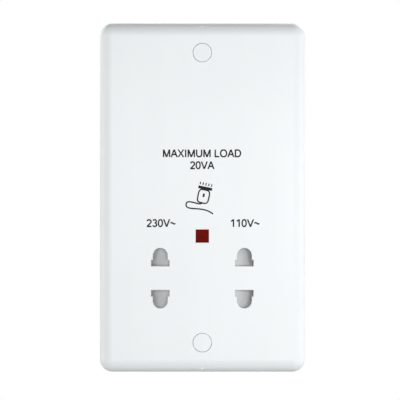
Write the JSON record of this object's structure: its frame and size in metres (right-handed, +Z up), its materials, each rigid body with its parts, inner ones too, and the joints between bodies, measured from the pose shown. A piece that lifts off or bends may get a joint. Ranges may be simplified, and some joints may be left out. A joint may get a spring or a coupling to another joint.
{
  "type": "shaver socket",
  "caption": "Flush wall socket for electric shavers: a white plate with two key-slotted outlets behind a sliding shutter, a red indicator and an isolating transformer in a rear housing.",
  "frame": {"origin": "centre of the face plate on the wall plane, midway between the two fixing screws", "axes": "+X to the right as seen from the room, +Y into the wall, +Z up; the front face looks along -Y"},
  "size_m": [0.086, 0.044, 0.146],
  "materials": {
    "face_moulding": "smooth white moulding with a soft sheen",
    "zinc_plated_steel": "bright zinc plate",
    "red_lens": "deep red translucent moulding",
    "lamp_glass": "clear glass",
    "resistor_body": "beige lacquer with colour bands",
    "shutter_moulding": "white moulding with a matt skin",
    "spring_steel": "bare spring strip",
    "contact_bronze": "bare rolled strip",
    "carrier_moulding": "cream moulding",
    "core_steel": "stacked laminations under clear varnish",
    "bobbin_moulding": "black glass-filled moulding",
    "winding_tape": "copper wire under yellow tape",
    "cutout_case": "black moulded case",
    "housing_moulding": "white moulding with a fine texture",
    "terminal_brass": "machined brass"
  },
  "bodies": {
    "socket": {"front_plate": "face_moulding", "screw_cap_upper": "face_moulding", "screw_cap_lower": "face_moulding", "fixing_screws": "zinc_plated_steel", "housing_screws": "zinc_plated_steel", "terminal_screws": "zinc_plated_steel", "neon_lens": "red_lens", "neon_lamp": "lamp_glass", "neon_resistor": "resistor_body", "centring_spring": "spring_steel", "switch_strip_line": "contact_bronze", "switch_strip_load": "contact_bronze", "contact_230v": "contact_bronze", "contact_110v": "contact_bronze", "contact_common": "contact_bronze", "contact_carrier": "carrier_moulding", "core_e_stack": "core_steel", "core_i_stack": "core_steel", "bobbin": "bobbin_moulding", "secondary_winding": "winding_tape", "primary_winding": "winding_tape", "thermal_cutout": "cutout_case", "rear_housing": "housing_moulding", "terminal_earth": "terminal_brass", "terminal_neutral": "terminal_brass", "terminal_live": "terminal_brass"},
    "shutter_slider": {"shutter": "shutter_moulding", "switch_bridge": "contact_bronze"}
  },
  "joints": [
    {"name": "shutter_slide", "type": "slide", "parent": "socket", "child": "shutter_slider", "axis": [1, 0, 0], "range_m": [-0.0082, 0.0082], "stiffness_N_per_m": 200, "deforming": ["centring_spring"]}
  ]
}
